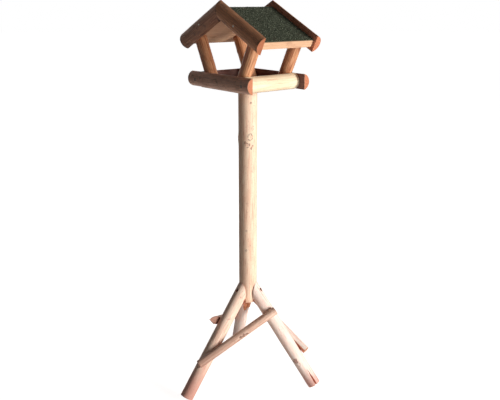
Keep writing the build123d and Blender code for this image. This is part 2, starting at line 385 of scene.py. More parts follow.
def steel_finish(name, colours, metallic, roughness):
    """Dulled steel with a little brown bloom."""
    t = Finish(name)
    bloom = t.noise(t.object_place(), 420.0, 4.0, 0.6)
    t.feed(t.shader.inputs["Metallic"], t.ramp(bloom, 0.5, 0.7, metallic, 0.3))
    colour = t.mix(t.ramp(bloom, 0.48, 0.66), *map(srgb, colours.split()))
    return t.done(colour, t.ramp(bloom, 0.4, 0.7, roughness, 0.75), 0.5, bloom, 0.3, 0.0002)


finishes = {
    "pole_wood": peeled_timber("pole timber", "ffe5cb f3c8ac b47a68 d0947e", 0.5, 0.014),
    "leg_wood": peeled_timber("leg timber", "fff2e8 fcdfd2 ca9686 cc9286", 0.36, 0.03, painted_foot_shade=(0.8, 0.085)),
    "brace_wood": peeled_timber("brace timber", "e6c8b4 d0a793 946c5c 986e5e", 0.48, 0.025, painted_foot_shade=(0.9, 0.26)),
    "rail_wood": peeled_timber("rail timber", "faeed0 f4dcba d8ac8c e4be9e", 0.34, 0.05),
    "post_wood": peeled_timber("post timber", "e2aa80 aa6a46 6e3e2b 844c36", 0.5, 0.02, roughness=0.5),
    "rafter_wood": peeled_timber("rafter timber", "ce9066 a67050 684432 5c4232", 0.58, 0.035,
                                 bark=(dark_bark, 0.5))}
stained_leg = peeled_timber("stained leg timber", "ffe8d4 f6ceb8 b47c6c c89082", 0.48, 0.02, painted_foot_shade=(0.9, 0.17))
bark_rafter = peeled_timber("barky rafter timber", "a07258 7f5743 523a30 544034", 0.62, 0.03,
                            bark=(srgb("46382c"), 0.6))
bark_rail = peeled_timber("barky rail timber", "e2b49c be927e 8a6658 9e7a68", 0.6, 0.03,
                          bark=(srgb("7a6650"), 0.6))
end_salmon = end_grain("fresh end grain", "d28c6c bc7054 8a4e3a")
# Darker end grain as painted shade, for the near-right rafter's sawn end, which faces the key light
end_painted_shade = end_grain("end grain darkened as painted shade", "b87656 a25e42 76422e")
end_pale = end_grain("weathered end grain", "ce9c7e b07a60 78503e")
end_dull = end_grain("split end grain", "b48a7a 986e60 684a40")
torn_wood = end_grain("torn wood", "de9e78 b87454 684030")
sawn_face = sawn_board("sawn log face", "dc967a be7a62 845646")
# Darker copy of the sawn log face as painted shade, for the inner faces of the tray rails
face_painted_shade = sawn_board("log face darkened as painted shade", "8e6860 785650 543e3a")
board_finish = sawn_board("sawn board", "e4ba98 ca9a78 9a6850", along_y=True)
# Darker copy of the sawn board as painted shade, for the shaded inside of the tray
tray_finish = sawn_board("tray board", "9c7460 825c4c 563a32", along_y=True)
felt_finish = felt_sheet_finish()
chip_finish = grit_finish()
flake_finish = bark_finish()
zinc = steel_finish("zinc", "96928a 604e3e", 0.9, 0.38)
# Dark steel for the screw heads as painted shade, so that the sunk heads read as dark holes
steel_painted_hole_shade = steel_finish("dark steel as painted hole shade", "5c5046 463226", 0.6, 0.5)


# ---- meshes and pieces
def new_object(name, data):
    """An object that holds the data, in the scene."""
    made = bpy.data.objects.new(name, data)
    scene.collection.objects.link(made)
    return made


def to_data(mesh, name):
    """The mesh data of a bmesh, which ends here."""
    data = bpy.data.meshes.new(name)
    mesh.to_mesh(data)
    mesh.free()
    return data


def store(data, name, values):
    """Keep a number or a vector for each point of a mesh, as an attribute."""
    values = np.asarray(values, dtype=float)
    kind, field = ("FLOAT_VECTOR", "vector") if values.ndim == 2 else ("FLOAT", "value")
    data.attributes.new(name, kind, "POINT").data.foreach_set(field, values.ravel())


def evaluated(data, kind, inputs=None, **settings):
    """The mesh that a modifier of this kind, its settings and its inputs make of another."""
    carrier = new_object("carrier", data)
    modifier = carrier.modifiers.new("modifier", kind)
    for name, value in settings.items():
        setattr(modifier, name, value)
    for identifier, value in (inputs or {}).items():
        modifier[identifier] = value
    depsgraph = bpy.context.evaluated_depsgraph_get()
    made = bpy.data.meshes.new_from_object(carrier.evaluated_get(depsgraph))
    bpy.data.objects.remove(carrier)
    return made


def add_piece(data, name, slot, *nodes):
    """Put a finished mesh in the scene, riding on the part's one body."""
    piece = new_object(name, data)
    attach(piece, "root")
    if nodes:
        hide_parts(*nodes)


def add_skin(mesh, rows, material=0, smooth=False):
    """Faces between each ring of points and the next, and a cap on both ends."""
    count = len(rows[0])
    for first, second in zip(rows, rows[1:]):
        for step in range(count):
            after = (step + 1) % count
            face = mesh.faces.new((first[step], first[after], second[after], second[step]))
            face.material_index = material
            face.smooth = smooth
    for cap in (rows[0][::-1], rows[-1]):
        mesh.faces.new(cap).material_index = material


# ---- reading the solids
class Log:
    """Middle line, radius, ends and sawn cuts of one log, read from its CAD node."""

    smallest_cut = 1e-4             # square metres; anything smaller is part of a screw hole

    def __init__(self, node):
        mesh = frame["nodes"][node].data
        mesh.calc_loop_triangles()
        points = np.array([vertex.co for vertex in mesh.vertices])
        corners = points[np.array([triangle.vertices for triangle in mesh.loop_triangles])]
        cross = np.cross(corners[:, 1] - corners[:, 0], corners[:, 2] - corners[:, 0])
        size = np.linalg.norm(cross, axis=1)
        keep = size > 1e-12
        corners, cross, size = corners[keep], cross[keep], size[keep]
        area, normal = size / 2, cross / size[:, None]
        weight = area
        for limit in (0.6, 0.3, 0.1, 0.03, 0.01):
            axis = np.linalg.eigh((normal.T * weight) @ normal)[1][:, 0]
            weight = np.where(abs(normal @ axis) < limit, area, 0)
        if axis[np.argmax(abs(axis))] < 0:
            axis = -axis
        side = np.cross(axis, (0, 0, 1) if abs(axis[2]) < 0.9 else (1, 0, 0))
        side /= np.linalg.norm(side)
        up = np.cross(axis, side)
        across = np.stack([corners[weight > 0] @ side, corners[weight > 0] @ up], axis=2)
        middle, self.radius = self.best_circle(across, area[weight > 0])
        self.axis, self.side, self.up = axis, side, up
        self.middle = side * middle[0] + up * middle[1]
        along = points @ axis
        self.low, self.high = along.min(), along.max()
        self.cuts = self.find_cuts(corners, normal, area)

    @staticmethod
    def best_circle(across, area, tries=400, tolerance=6e-5):
        """Circle that the greatest area of facets lies on; across is facet, corner, coordinate."""
        chosen = np.random.default_rng(11)
        points = across.reshape(-1, 2)

        def fit(some):
            terms = np.column_stack([2 * some, np.ones(len(some))])
            answer = np.linalg.lstsq(terms, (some ** 2).sum(axis=1), rcond=None)[0]
            return answer[:2], math.sqrt(max(0.0, answer[2] + answer[:2] @ answer[:2]))

        def on_circle(middle, radius):
            return (abs(np.linalg.norm(across - middle, axis=2) - radius) < tolerance).all(axis=1)

        best, most = None, 0.0
        for _ in range(tries):
            middle, radius = fit(points[chosen.choice(len(points), 3, replace=False)])
            covered = area[on_circle(middle, radius)].sum() if 0.004 < radius < 0.05 else 0.0
            if covered > most:
                best, most = (middle, radius), covered
        return fit(across[on_circle(*best)].reshape(-1, 2))

    def find_cuts(self, corners, normal, area):
        """Big flat faces: [(point, outward normal), ...], the ones along the log first."""
        faces = {}
        for triangle, direction, size in zip(corners, normal, area):
            key = tuple(np.round(direction, 2)) + (round(float(direction @ triangle[0]), 4),)
            total = faces.setdefault(key, [0.0, triangle[0], direction])
            total[0] += size
        cuts = []
        for size, point, direction in faces.values():
            lean = abs(direction @ self.axis)
            depth = direction @ (point - self.middle)
            if size > self.smallest_cut and (lean > 0.03 or depth < 0.97 * self.radius):
                cuts.append((lean, point, direction))
        return [(point, direction) for _, point, direction in sorted(cuts, key=lambda cut: cut[0])]

    def at_share(self, share):
        """Distance along the log at a share of its length."""
        return self.low + share * (self.high - self.low)

    def place(self, along, angle, radius):
        """World point at a distance along the log and an angle and radius round it."""
        return (self.middle + self.axis * along
                + (self.side * math.cos(angle) + self.up * math.sin(angle)) * radius)

    def local(self, points):
        """World points in the log's own coordinates, Z along its middle line."""
        off = np.asarray(points) - self.middle
        return np.stack([off @ self.side, off @ self.up, off @ self.axis], axis=-1)


class Screw:
    """Head, facing and sizes of one screw, read from its part of a CAD node."""

    def __init__(self, points):
        middle = points.mean(axis=0)
        facing = np.linalg.eigh(np.cov((points - middle).T))[1][:, 2]
        along = (points - middle) @ facing
        across = np.linalg.norm(points - middle - np.outer(along, facing), axis=1)
        if along[np.argmax(across)] < 0:
            facing, along = -facing, -along
        self.facing = facing
        self.head_radius = across.max()
        self.shank_radius = np.median(across[along < np.median(along)])
        self.head_depth = along.max() - along[across < 1.1 * self.shank_radius].max()
        self.length = along.max() - along.min()
        self.top = middle + facing * along.max()


def read_screws(node):
    """Every screw of a CAD node that holds several of them."""
    mesh = bmesh.new()
    mesh.from_mesh(frame["nodes"][node].data)
    bmesh.ops.remove_doubles(mesh, verts=mesh.verts[:], dist=1e-6)
    seen, found = set(), []
    for start in mesh.verts:
        if start not in seen:
            group, waiting = {start}, [start]
            while waiting:
                vertex = waiting.pop()
                near = {edge.other_vert(vertex) for edge in vertex.link_edges} - group
                group |= near
                waiting.extend(near)
            seen |= group
            found.append(Screw(np.array([vertex.co for vertex in mesh.verts if vertex in group])))
    mesh.free()
    return found


screws = {node: read_screws(node) for node in ("leg_screws", "rail_screws", "pole_screws")}


# ---- making timber
vertex_gap = 0.0030                 # between the points of a carved log
spare_length = 0.012                # of a tube beyond each end of its log, before the cuts
end_lean = 0.4                      # a cut is an end if its normal leans this much along the log
sharp_edge = math.radians(25)
edge_wear = 0.0007
rim_reach = 0.009                   # how far the stain of a sawn end reaches along the log
seat_play = 0.0006                  # between a screw head and the side of its seat
seat_drop = 0.0012                  # how far the seat goes below the top of the head
seat_depth = 0.008                  # the deepest that a head lies under the round of a log
plug_height = 0.024
end_wood, dark_wood, bright_wood = 1, 2, 3      # a log's material slots after its round side


class Knot:
    """A knot: share of the log's length, degrees round it, reach and swelling in millimetres.

    Its heart is pale up to a boldness of 0.85 and solid brown at 1.4.
    """

    def __init__(self, share, degrees, reach, swelling, boldness=0.8):
        self.share, self.angle, self.boldness = share, math.radians(degrees), boldness
        self.reach, self.swelling = reach / 1000, swelling / 1000

    def nearness(self, log, points):
        """1 in the middle of the knot and near 0 past its reach."""
        off = points - log.place(log.at_share(self.share), self.angle, log.radius)
        along = off @ log.axis
        across = np.sqrt(np.maximum(0.0, (off ** 2).sum(axis=-1) - along ** 2))
        return np.exp(-(np.hypot(along * 0.75, across) / self.reach) ** 2)


def relief_at(radius, along, angle, seed):
    """How far the carved surface lies inside the true round, at one point of a log."""
    x, y = math.cos(angle), math.sin(angle)
    slow = noise.noise((x * 1.3 + seed, y * 1.3, along * 7))
    facet = noise.noise((x * 4 + seed, y * 4, along * 22 + 5))
    fine = noise.noise((x * radius * 260, y * radius * 260 + seed, along * 60))
    return (0.5 - 0.5 * slow) * 0.0009 + (0.5 - 0.5 * facet) * 0.0004 + (0.5 - 0.5 * fine) * 0.0002


def add_tube(mesh, log, seed, roughness, knots):
    """The whole round of a log, a little longer than its solid, closed at both ends."""
    rings = max(8, round((log.high - log.low + 2 * spare_length) / vertex_gap))
    count = max(24, 2 * round(math.pi * log.radius / vertex_gap))
    angles = [2 * math.pi * step / count for step in range(count)]
    stops = np.linspace(log.low - spare_length, log.high + spare_length, rings + 1)
    surface = np.array([[log.place(stop, angle, 1.0) for angle in angles] for stop in stops])
    outward = surface - (log.middle + stops[:, None, None] * log.axis)
    surface = surface + outward * (log.radius - 1.0)
    relief = [[relief_at(log.radius, stop, angle, seed) for angle in angles] for stop in stops]
    sunk = roughness * np.array(relief)
    for knot in knots:
        near = knot.nearness(log, surface)
        sunk -= knot.swelling * (near - 0.9 * near ** 6)
    surface = surface - outward * sunk[..., None]
    add_skin(mesh, [[mesh.verts.new(point) for point in row] for row in surface], smooth=True)


def is_end(log, direction):
    """Whether a cut that faces this way goes across the log."""
    return abs(np.array(direction) @ log.axis) > end_lean


def trim(mesh, log, cuts):
    """Saw the tube along each plane and close the cut with a face of its own finish."""
    for point, direction in cuts:
        cut = bmesh.ops.bisect_plane(
            mesh, geom=mesh.verts[:] + mesh.edges[:] + mesh.faces[:], dist=1e-6, plane_co=Vector(point),
            plane_no=Vector(direction), clear_outer=True)
        edges = [item for item in cut["geom_cut"] if isinstance(item, bmesh.types.BMEdge)]
        for face in bmesh.ops.contextual_create(mesh, geom=edges)["faces"]:
            face.material_index = end_wood if is_end(log, direction) else dark_wood
            face.smooth = False
    bmesh.ops.remove_doubles(mesh, verts=mesh.verts[:], dist=2e-5)
    bmesh.ops.recalc_face_normals(mesh, faces=mesh.faces[:])


def wear_edges(mesh, wear):
    """Round off the sharp edges round every cut."""
    rims = [edge for edge in mesh.edges
            if len(edge.link_faces) == 2 and any(face.material_index for face in edge.link_faces)
            and edge.calc_face_angle(0) > sharp_edge]
    bmesh.ops.bevel(mesh, geom=rims, offset=wear, segments=2, profile=0.6, affect="EDGES",
                    clamp_overlap=True, material=0)


def add_shard(mesh, log, root, tip, width, taper, finish, seed):
    """A torn splinter from one point to another, both given as (along, degrees, radius)."""
    start, end = (Vector(log.place(along, math.radians(degrees), radius))
                  for along, degrees, radius in (root, tip))
    side = (end - start).normalized().orthogonal().normalized()
    up = (end - start).normalized().cross(side)
    corners = 9
    rows = []
    for stop in (0.0, 0.2, 0.4, 0.6, 0.75, 0.88, 1.0):
        row = []
        for corner in range(corners):
            angle = 2 * math.pi * corner / corners + stop
            uneven = 1 + 0.5 * noise.noise((seed, corner * 3.1, stop * 6))
            reach = max(width / 2 * (1 - stop) ** taper * uneven, 0.0002)
            spoke = side * math.cos(angle) + up * math.sin(angle) * 0.55
            row.append(mesh.verts.new(start.lerp(end, stop) + spoke * reach))
        rows.append(row)
    add_skin(mesh, rows, finish)


def add_crack_wedge(mesh, log, start_share, end_share, degrees, width, depth):
    """A crooked wedge along the log, thin at its start and open at its end."""
    steps = 14
    rows = []
    for step in range(steps + 1):
        share = step / steps
        along = log.at_share(start_share + (end_share - start_share) * share)
        drift = math.radians(degrees) + 0.05 * noise.noise((share * 5, 2.7, 0.4))
        half = (0.00012 + width / 2 * share ** 0.7) / log.radius
        bottom = log.radius - 0.0004 - depth * min(1.0, 3 * share + 0.1)
        top = log.radius + 0.004
        rows.append([mesh.verts.new(log.place(along, drift + turn * half, radius))
                     for turn, radius in ((-1.15, top), (1.15, top), (0.15, bottom))])
    add_skin(mesh, rows)


def sunk_screws(log):
    """Every screw whose head lies in this log's side."""
    found = []
    for screw in sum(screws.values(), []):
        x, y, z = log.local(screw.top)
        if 0 <= log.radius - math.hypot(x, y) < seat_depth and log.low < z < log.high:
            found.append(screw)
    return found


def carve_away(data, log, cracks):
    """The log's mesh with its screw seats and drying cracks cut out by one exact boolean."""
    heads = sunk_screws(log)
    if not heads and not cracks:
        return data
    cutter = bmesh.new()
    for screw in heads:
        middle = Vector(screw.top + screw.facing * (plug_height / 2 - seat_drop))
        turn = Vector(screw.facing).to_track_quat("Z", "Y").to_matrix().to_4x4()
        radius = screw.head_radius + seat_play
        bmesh.ops.create_cone(cutter, cap_ends=True, segments=32, radius1=radius, radius2=radius,
                              depth=plug_height, matrix=Matrix.Translation(middle) @ turn)
    for crack in cracks:
        add_crack_wedge(cutter, log, *crack)
    for face in cutter.faces:
        face.material_index = dark_wood
    bmesh.ops.recalc_face_normals(cutter, faces=cutter.faces[:])
    tool = new_object("cutter", to_data(cutter, "cutter"))
    made = evaluated(data, "BOOLEAN", object=tool, operation="DIFFERENCE", solver="EXACT")
    bpy.data.objects.remove(tool)
    return made


def store_timber_places(data, log, cuts, knots, seed):
    """The log's own coordinates, its knots and its rims, kept on the points for the finishes."""
    points = np.array([vertex.co for vertex in data.vertices])
    rim, near, bold = np.zeros((3, len(points)))
    for point, direction in cuts:
        if is_end(log, direction):
            rim = np.maximum(rim, 1 - abs((points - point) @ direction) / rim_reach)
    for knot in knots:
        here = knot.nearness(log, points)
        bold = np.where(here > near, knot.boldness, bold)
        near = np.maximum(near, here)
    places = log.local(points) + (0, 0, seed * 0.83)
    for name, values in (("timber", places), ("rim", rim), ("knot", near), ("bold", bold)):
        store(data, name, values)


def carve(node, seed, roughness, knots=(), side=None, end=end_pale, face=sawn_face, shards=(), cracks=(),
          split=None, wear=edge_wear):
    """A log made again from its solid; returns its mesh and what was read of the log."""
    log = Log(node)
    cuts = split(log) if split else log.cuts
    mesh = bmesh.new()
    add_tube(mesh, log, seed, roughness, knots)
    trim(mesh, log, cuts)
    wear_edges(mesh, wear)
    for number, shard in enumerate(shards):
        add_shard(mesh, log, *shard, seed * 7 + number)
    data = to_data(mesh, node)
    for material in (side or finishes[slots[node]], end, face, torn_wood):
        data.materials.append(material)
    data = carve_away(data, log, cracks)
    store_timber_places(data, log, cuts, knots, seed)
    add_piece(data, f"{node}_timber", slots[node], node)
    return data, log


# ---- the timbers
def split_low_end(log):
    """The log's cuts, with sloping ones at its low end that leave a beak at one side."""
    beak_angle, lean = math.radians(196), math.radians(60)
    beak_length, beak_reach = 0.012, 1.12 * log.radius
    kept = [(point, direction) for point, direction in log.cuts if direction @ log.axis > -end_lean]
    tip = log.place(log.low - beak_length, beak_angle, beak_reach)
    slopes = []
    for turn in (0, 80, -80):
        angle = beak_angle + math.pi + math.radians(turn)
        outward = log.side * math.cos(angle) + log.up * math.sin(angle)
        slopes.append((tip, outward * math.sin(lean) - log.axis * math.cos(lean)))
    return kept + slopes


pole_knots = (
    Knot(0.832, -99, 7, 2, 0.6), Knot(0.792, -114, 10, 2.4), Knot(0.757, -134, 7.6, 2.2, 0.85),
    Knot(0.76, -119, 4.2, 0.8, 1.3), Knot(0.744, -108, 4.8, 1.4, 1.4), Knot(0.752, -98, 4, 0.8, 1.2),
    Knot(0.768, -144, 4.4, 0.8, 1.3), Knot(0.94, -110, 3.8, 0.8, 1.2), Knot(0.78, 150, 10, 2.2),
    Knot(0.262, -140, 4.4, 0.8, 1), Knot(0.36, -136, 4, 0.6, 1), Knot(0.77, 30, 9, 2),
    Knot(0.44, 75, 9, 1.8), Knot(0.12, 40, 7, 1.4))
leg_front_knots = (
    Knot(0.528, 17, 7, 2.2), Knot(0.264, -75, 7, 1.6), Knot(0.498, -92, 3, 0.5), Knot(0.36, 150, 9, 1.8))
leg_right_knots = (
    Knot(0.26, 178, 10, 2.2, 1.4), Knot(0.222, -172, 7, 1.2, 0.5), Knot(0.55, 40, 8, 1.8))
leg_left_knots = (Knot(0.35, 150, 8, 1.8, 0.5), Knot(0.55, -70, 8, 1.8, 0.4))
brace_front_knots = (
    Knot(0.566, -6, 6, 2.4, 1.4), Knot(0.524, -10, 4.4, 1, 1.4), Knot(0.602, 2, 4.2, 0.8, 1.4),
    Knot(0.931, -48, 5, 0.8, 0.3))
bark_rail_knots = (Knot(0.22, -20, 6, 1.2, 0.4), Knot(0.63, 25, 7, 1.4, 0.4))

# Each shard: root and tip as (along, degrees, radius), then width, taper and material slot.
pole_shards = (
    ((0.2963, -152, 0.013), (0.2599, -169, 0.0183), 0.02, 0.4, bright_wood),
    ((0.2992, -114, 0.0145), (0.2721, -126, 0.018), 0.017, 0.45, bright_wood),
    ((0.2915, -155, 0.0199), (0.2711, -177, 0.0239), 0.008, 0.6, dark_wood),
    ((0.2964, -156, 0.0225), (0.2853, -174, 0.0255), 0.007, 0.6, dark_wood))
brace_left_shards = (
    ((-0.186, 170, 0.011), (-0.215, 190, 0.018), 0.008, 0.9, end_wood),
    ((-0.182, 100, 0.01), (-0.206, 110, 0.013), 0.007, 0.8, end_wood))
brace_front_shards = (
    ((0.046, -4, 0.013), (0.053, 2, 0.0172), 0.006, 0.7, 0),
    ((0.066, 6, 0.013), (0.073, 9, 0.0175), 0.0045, 0.7, 0))

# A crack: its shares of the log's length, degrees round it, width and depth.
leg_right_cracks = ((0.15, -0.02, -134, 0.008, 0.011),)

carve("pole", 1, 0.7, pole_knots, shards=pole_shards)
carve("leg_front", 2, 0.8, leg_front_knots, stained_leg)
carve("leg_right", 3, 1.0, leg_right_knots, cracks=leg_right_cracks)
carve("leg_left", 4, 1.0, leg_left_knots)
carve("brace_front", 5, 1.1, brace_front_knots, shards=brace_front_shards)
carve("brace_right", 6, 1.1, (Knot(0.3, -60, 6, 1.4),), finishes["leg_wood"])
carve("brace_left", 7, 1.1, (Knot(0.6, -40, 6, 1.4),), end=end_dull, shards=brace_left_shards,
      split=split_low_end)
barky = [
    carve("gable_rail_near", 8, 1.4, bark_rail_knots, bark_rail, end_salmon, face_painted_shade),
    carve("gable_rail_far", 9, 1.2, (Knot(0.4, 10, 7, 1.4),), bark_rail, end_salmon, face_painted_shade)]
carve("eave_rail_right", 10, 0.9, (Knot(0.72, 170, 6, 1.2),), end=end_salmon)
carve("eave_rail_left", 11, 1.0, (Knot(0.3, 10, 7, 1.2),), end=end_salmon, face=face_painted_shade)
for number, node in enumerate(("post_near_right", "post_near_left", "post_far_right", "post_far_left")):
    carve(node, 12 + number, 0.8, (Knot(0.3 + 0.13 * number, 80 - 95 * number, 6, 1.2, 0.6),))
# The near-right rafter's end takes the darker end grain as painted shade.
rafter_looks = {
    "rafter_near_right": (None, end_painted_shade), "rafter_near_left": (bark_rafter, end_salmon),
    "rafter_far_right": (None, end_salmon), "rafter_far_left": (None, end_salmon)}
weathered = [
    carve(node, 16 + number, 1.4, (Knot(0.35 + 0.12 * number, 40 - 30 * number, 6, 1.2, 0.5),),
          *look, wear=0.0011)
    for number, (node, look) in enumerate(rafter_looks.items())]


# ---- geometry trees
def new_geometry_tree(name, inputs):
    """An empty geometry tree that takes a mesh, sizes and a seed."""
    mesh = {"Geometry": "Geometry"}
    return new_tree("GeometryNodeTree", name, {**mesh, **inputs}, mesh)


def run_tree(group, source, name, **sizes):
    """The plain mesh that a geometry tree makes of another; an underscore stands for a space."""
    sockets = {item.name: item.identifier for item in group.interface.items_tree if item.in_out == "INPUT"}
    values = {sockets[label.replace("_", " ")]: value for label, value in sizes.items()}
    made = evaluated(source, "NODES", values, node_group=group)
    finish = next(material for material in made.materials if material)
    made.materials.clear()
    made.materials.append(finish)
    made.polygons.foreach_set("material_index", [0] * len(made.polygons))
    made.name = name
    return made


def random_value(t, low, high, seed):
    """A random number for each instance, or a random vector if low and high are vectors."""
    kind, first = ("FLOAT_VECTOR", 0) if isinstance(low, tuple) else ("FLOAT", 2)
    ends = {first: low, first + 1: high, 8: seed}
    return t.get("FunctionNodeRandomValue", ends, first // 2, data_type=kind)


def vector_attribute(t, name):
    return t.get("GeometryNodeInputNamedAttribute", {"Name": name}, data_type="FLOAT_VECTOR")


def moved_up(t, geometry, height):
    return t.get("GeometryNodeTransform", {"Geometry": geometry, "Translation": t.combined(z=height)})


def make_real(t, instances, material, out):
    """Turn instances into one mesh with one finish, as what the tree gives."""
    real = t.get("GeometryNodeRealizeInstances", {"Geometry": instances})
    t.feed(out["Geometry"], t.get("GeometryNodeSetMaterial", {"Geometry": real, "Material": material}))


def scatter_stones(t, scatter, size, rotation, shade_seed, material, out):
    """A low-sided stone at each scattered point, every one with its own shade."""
    stone = t.get("GeometryNodeMeshIcoSphere", {"Radius": 0.5, "Subdivisions": 1})
    placed = t.get("GeometryNodeInstanceOnPoints", {
        "Points": scatter.outputs["Points"], "Instance": stone, "Scale": size, "Rotation": rotation})
    shade = random_value(t, 0.0, 1.0, shade_seed)
    shaded = t.get("GeometryNodeStoreNamedAttribute", {"Geometry": placed, "Name": "shade", "Value": shade},
                   domain="INSTANCE")
    make_real(t, shaded, material, out)


def stand_fixings(t, given, parts, turn, material, out):
    """The joined parts at each point, standing along its facing and then turned."""
    stand = t.get("FunctionNodeAlignRotationToVector", {"Vector": vector_attribute(t, "facing")}, axis="Z")
    placed = t.get("GeometryNodeInstanceOnPoints", {
        "Points": t.get("GeometryNodeMeshToPoints", {"Mesh": given["Geometry"]}),
        "Instance": t.get("GeometryNodeJoinGeometry", {"Geometry": parts}), "Rotation": stand})
    turned = t.get("GeometryNodeRotateInstances", {"Instances": placed, "Rotation": turn})
    make_real(t, turned, material, out)


def make_grit_tree():
    """Mineral grit bedded in the weather side of the felt."""
    group, t, given, out = new_geometry_tree("mineral grit", {
        "Stones per Square Metre": 62000.0, "Stone Size": 0.0025, "Seed": 3})
    upward = t.height_of(t.get("GeometryNodeInputNormal"))
    scatter = t.add("GeometryNodeDistributePointsOnFaces", {
        "Mesh": given["Geometry"], "Selection": t.maths("GREATER_THAN", upward, 0.3),
        "Density": given["Stones per Square Metre"], "Seed": given["Seed"]})
    size = t.scaled(random_value(t, (0.5, 0.5, 0.4), (1.4, 1.2, 1.0), 11), given["Stone Size"])
    any_way = random_value(t, (0, 0, 0), (6.3, 6.3, 6.3), 5)
    scatter_stones(t, scatter, size, any_way, 17, chip_finish, out)
    return group


def make_bark_tree():
    """Flakes of bark lying along the grain of a log, in clusters."""
    group, t, given, out = new_geometry_tree("bark flakes", {
        "Flakes per Square Metre": 9000.0, "Flake Length": 0.0050, "Flake Width": 0.0022,
        "Flake Thickness": 0.0003, "Cluster Size": 0.02, "Seed": 5})
    round_side = t.get("FunctionNodeCompare", {2: t.get("GeometryNodeInputMaterialIndex"), 3: 0},
                       data_type="INT", operation="EQUAL")
    cluster = t.noise(t.get("GeometryNodeInputPosition"), t.maths("DIVIDE", 1.0, given["Cluster Size"]), 2.0)
    scatter = t.add("GeometryNodeDistributePointsOnFaces", {
        "Mesh": given["Geometry"], "Selection": round_side, "Seed": given["Seed"],
        "Density": t.times(given["Flakes per Square Metre"], t.ramp(cluster, 0.50, 0.64))})
    lie = {"Rotation": scatter.outputs["Rotation"], "Vector": vector_attribute(t, "along")}
    laid = t.get("FunctionNodeAlignRotationToVector", lie, axis="X", pivot_axis="Z")
    flake = t.combined(*(given["Flake " + side] for side in ("Length", "Width", "Thickness")))
    size = t.vector("MULTIPLY", flake, random_value(t, (0.35, 0.5, 0.6), (1.3, 1.5, 1.2), 9))
    scatter_stones(t, scatter, size, laid, 23, flake_finish, out)
    return group


def make_screw_tree():
    """Countersunk cross-head screws, one at each point, each turned its own way."""
    group, t, given, out = new_geometry_tree("countersunk screws", {
        "Head Diameter": 0.009, "Head Depth": 0.0025, "Shank Diameter": 0.0045, "Length": 0.07,
        "Slot Width": 0.0013, "Slot Depth": 0.0016, "Seed": 2})
    head_depth, length = given["Head Depth"], given["Length"]
    shank_radius = t.times(given["Shank Diameter"], 0.5)
    head_radius = t.times(given["Head Diameter"], 0.5)
    cone = t.get("GeometryNodeMeshCone", {
        "Radius Bottom": shank_radius, "Radius Top": head_radius, "Depth": head_depth})
    slot = (t.times(given["Head Diameter"], 0.62), given["Slot Width"])
    slot_height = t.times(given["Slot Depth"], 2.0)
    cross = [t.get("GeometryNodeMeshCube", {"Size": t.combined(*level, slot_height)})
             for level in (slot, slot[::-1])]
    head = t.get("GeometryNodeMeshBoolean", {
        "Mesh 1": moved_up(t, cone, t.times(head_depth, -1.0)), "Mesh 2": cross},
        operation="DIFFERENCE", solver="EXACT")
    shank = t.get("GeometryNodeMeshCylinder", {
        "Vertices": 20, "Radius": shank_radius, "Depth": t.minus(length, head_depth)})
    lower = moved_up(t, shank, t.times(t.plus(length, head_depth), -0.5))
    spin = t.combined(z=random_value(t, 0.0, 3.1, given["Seed"]))
    # the dark head steel is painted shade for the screw holes
    stand_fixings(t, given, [head, lower], spin, steel_painted_hole_shade, out)
    return group


def make_nail_tree():
    """Flat wire-nail heads standing just proud of the wood."""
    group, t, given, out = new_geometry_tree("nail heads", {
        "Head Diameter": 0.0048, "Head Height": 0.0011, "Seed": 1})
    height, radius = given["Head Height"], t.times(given["Head Diameter"], 0.5)
    lower = t.get("GeometryNodeMeshCylinder", {"Vertices": 20, "Radius": radius, "Depth": height})
    rim = t.get("GeometryNodeMeshCone", {
        "Vertices": 20, "Radius Top": t.times(radius, 0.8), "Radius Bottom": radius,
        "Depth": t.times(height, 0.35)})
    upper = moved_up(t, rim, t.times(height, 0.5))
    tilt = random_value(t, (-0.12, -0.12, 0.0), (0.12, 0.12, 3.0), given["Seed"])
    stand_fixings(t, given, [lower, upper], tilt, zinc, out)
    return group


# ---- bark
bark_tree = make_bark_tree()


def scatter_bark(logs, name, slot, seed, density):
    """Bark flakes over the round sides of several logs, as one piece."""
    joined = bmesh.new()
    for number, (timber, log) in enumerate(logs):
        source = timber.copy()
        store(source, "along", np.tile(log.axis, (len(source.vertices), 1)))
        joined.from_mesh(run_tree(bark_tree, source, f"{name} {number}", Seed=seed + number,
                                  Flakes_per_Square_Metre=density))
    data = to_data(joined, name)
    data.materials.append(flake_finish)
    add_piece(data, name, slot)


scatter_bark(barky, "rail_bark", "rail_wood", seed=5, density=12000.0)
scatter_bark(weathered, "rafter_bark", "rafter_wood", seed=15, density=6000.0)


# ---- fixings
def facing_points(points, directions):
    """A mesh of bare points, each with the direction that it faces."""
    data = bpy.data.meshes.new("points")
    data.from_pydata([tuple(point) for point in points], [], [])
    store(data, "facing", directions)
    return data


screw_tree = make_screw_tree()
for node, group in screws.items():
    size = group[0]
    source = facing_points([screw.top for screw in group], [screw.facing for screw in group])
    made = run_tree(
        screw_tree, source, node, Head_Diameter=2 * size.head_radius, Head_Depth=size.head_depth,
        Shank_Diameter=2 * size.shank_radius, Length=size.length, Slot_Width=0.26 * size.head_radius,
        Slot_Depth=0.6 * size.head_depth)
    add_piece(made, f"{node}_cross_head", slots[node], node)


def nail_places():
    """One nail about halfway down each rafter: where its head lies and the way that it faces."""
    bedding = 0.0006                # how deep the middle of a head lies under the true round
    spots = []
    for (_, log), down in zip(weathered, (0.48, 0.48, 0.5, 0.5)):
        facing = np.array((0.0, np.sign(log.middle[1]), 0.0))
        angle = math.atan2(facing @ log.up, facing @ log.side)
        along = log.at_share(1 - down if log.axis[2] > 0 else down)
        spots.append((log.place(along, angle, log.radius - bedding), facing))
    return spots


nail_points = facing_points(*zip(*nail_places()))
add_piece(run_tree(make_nail_tree(), nail_points, "nails"), "rafter_nails", "fixing_steel")


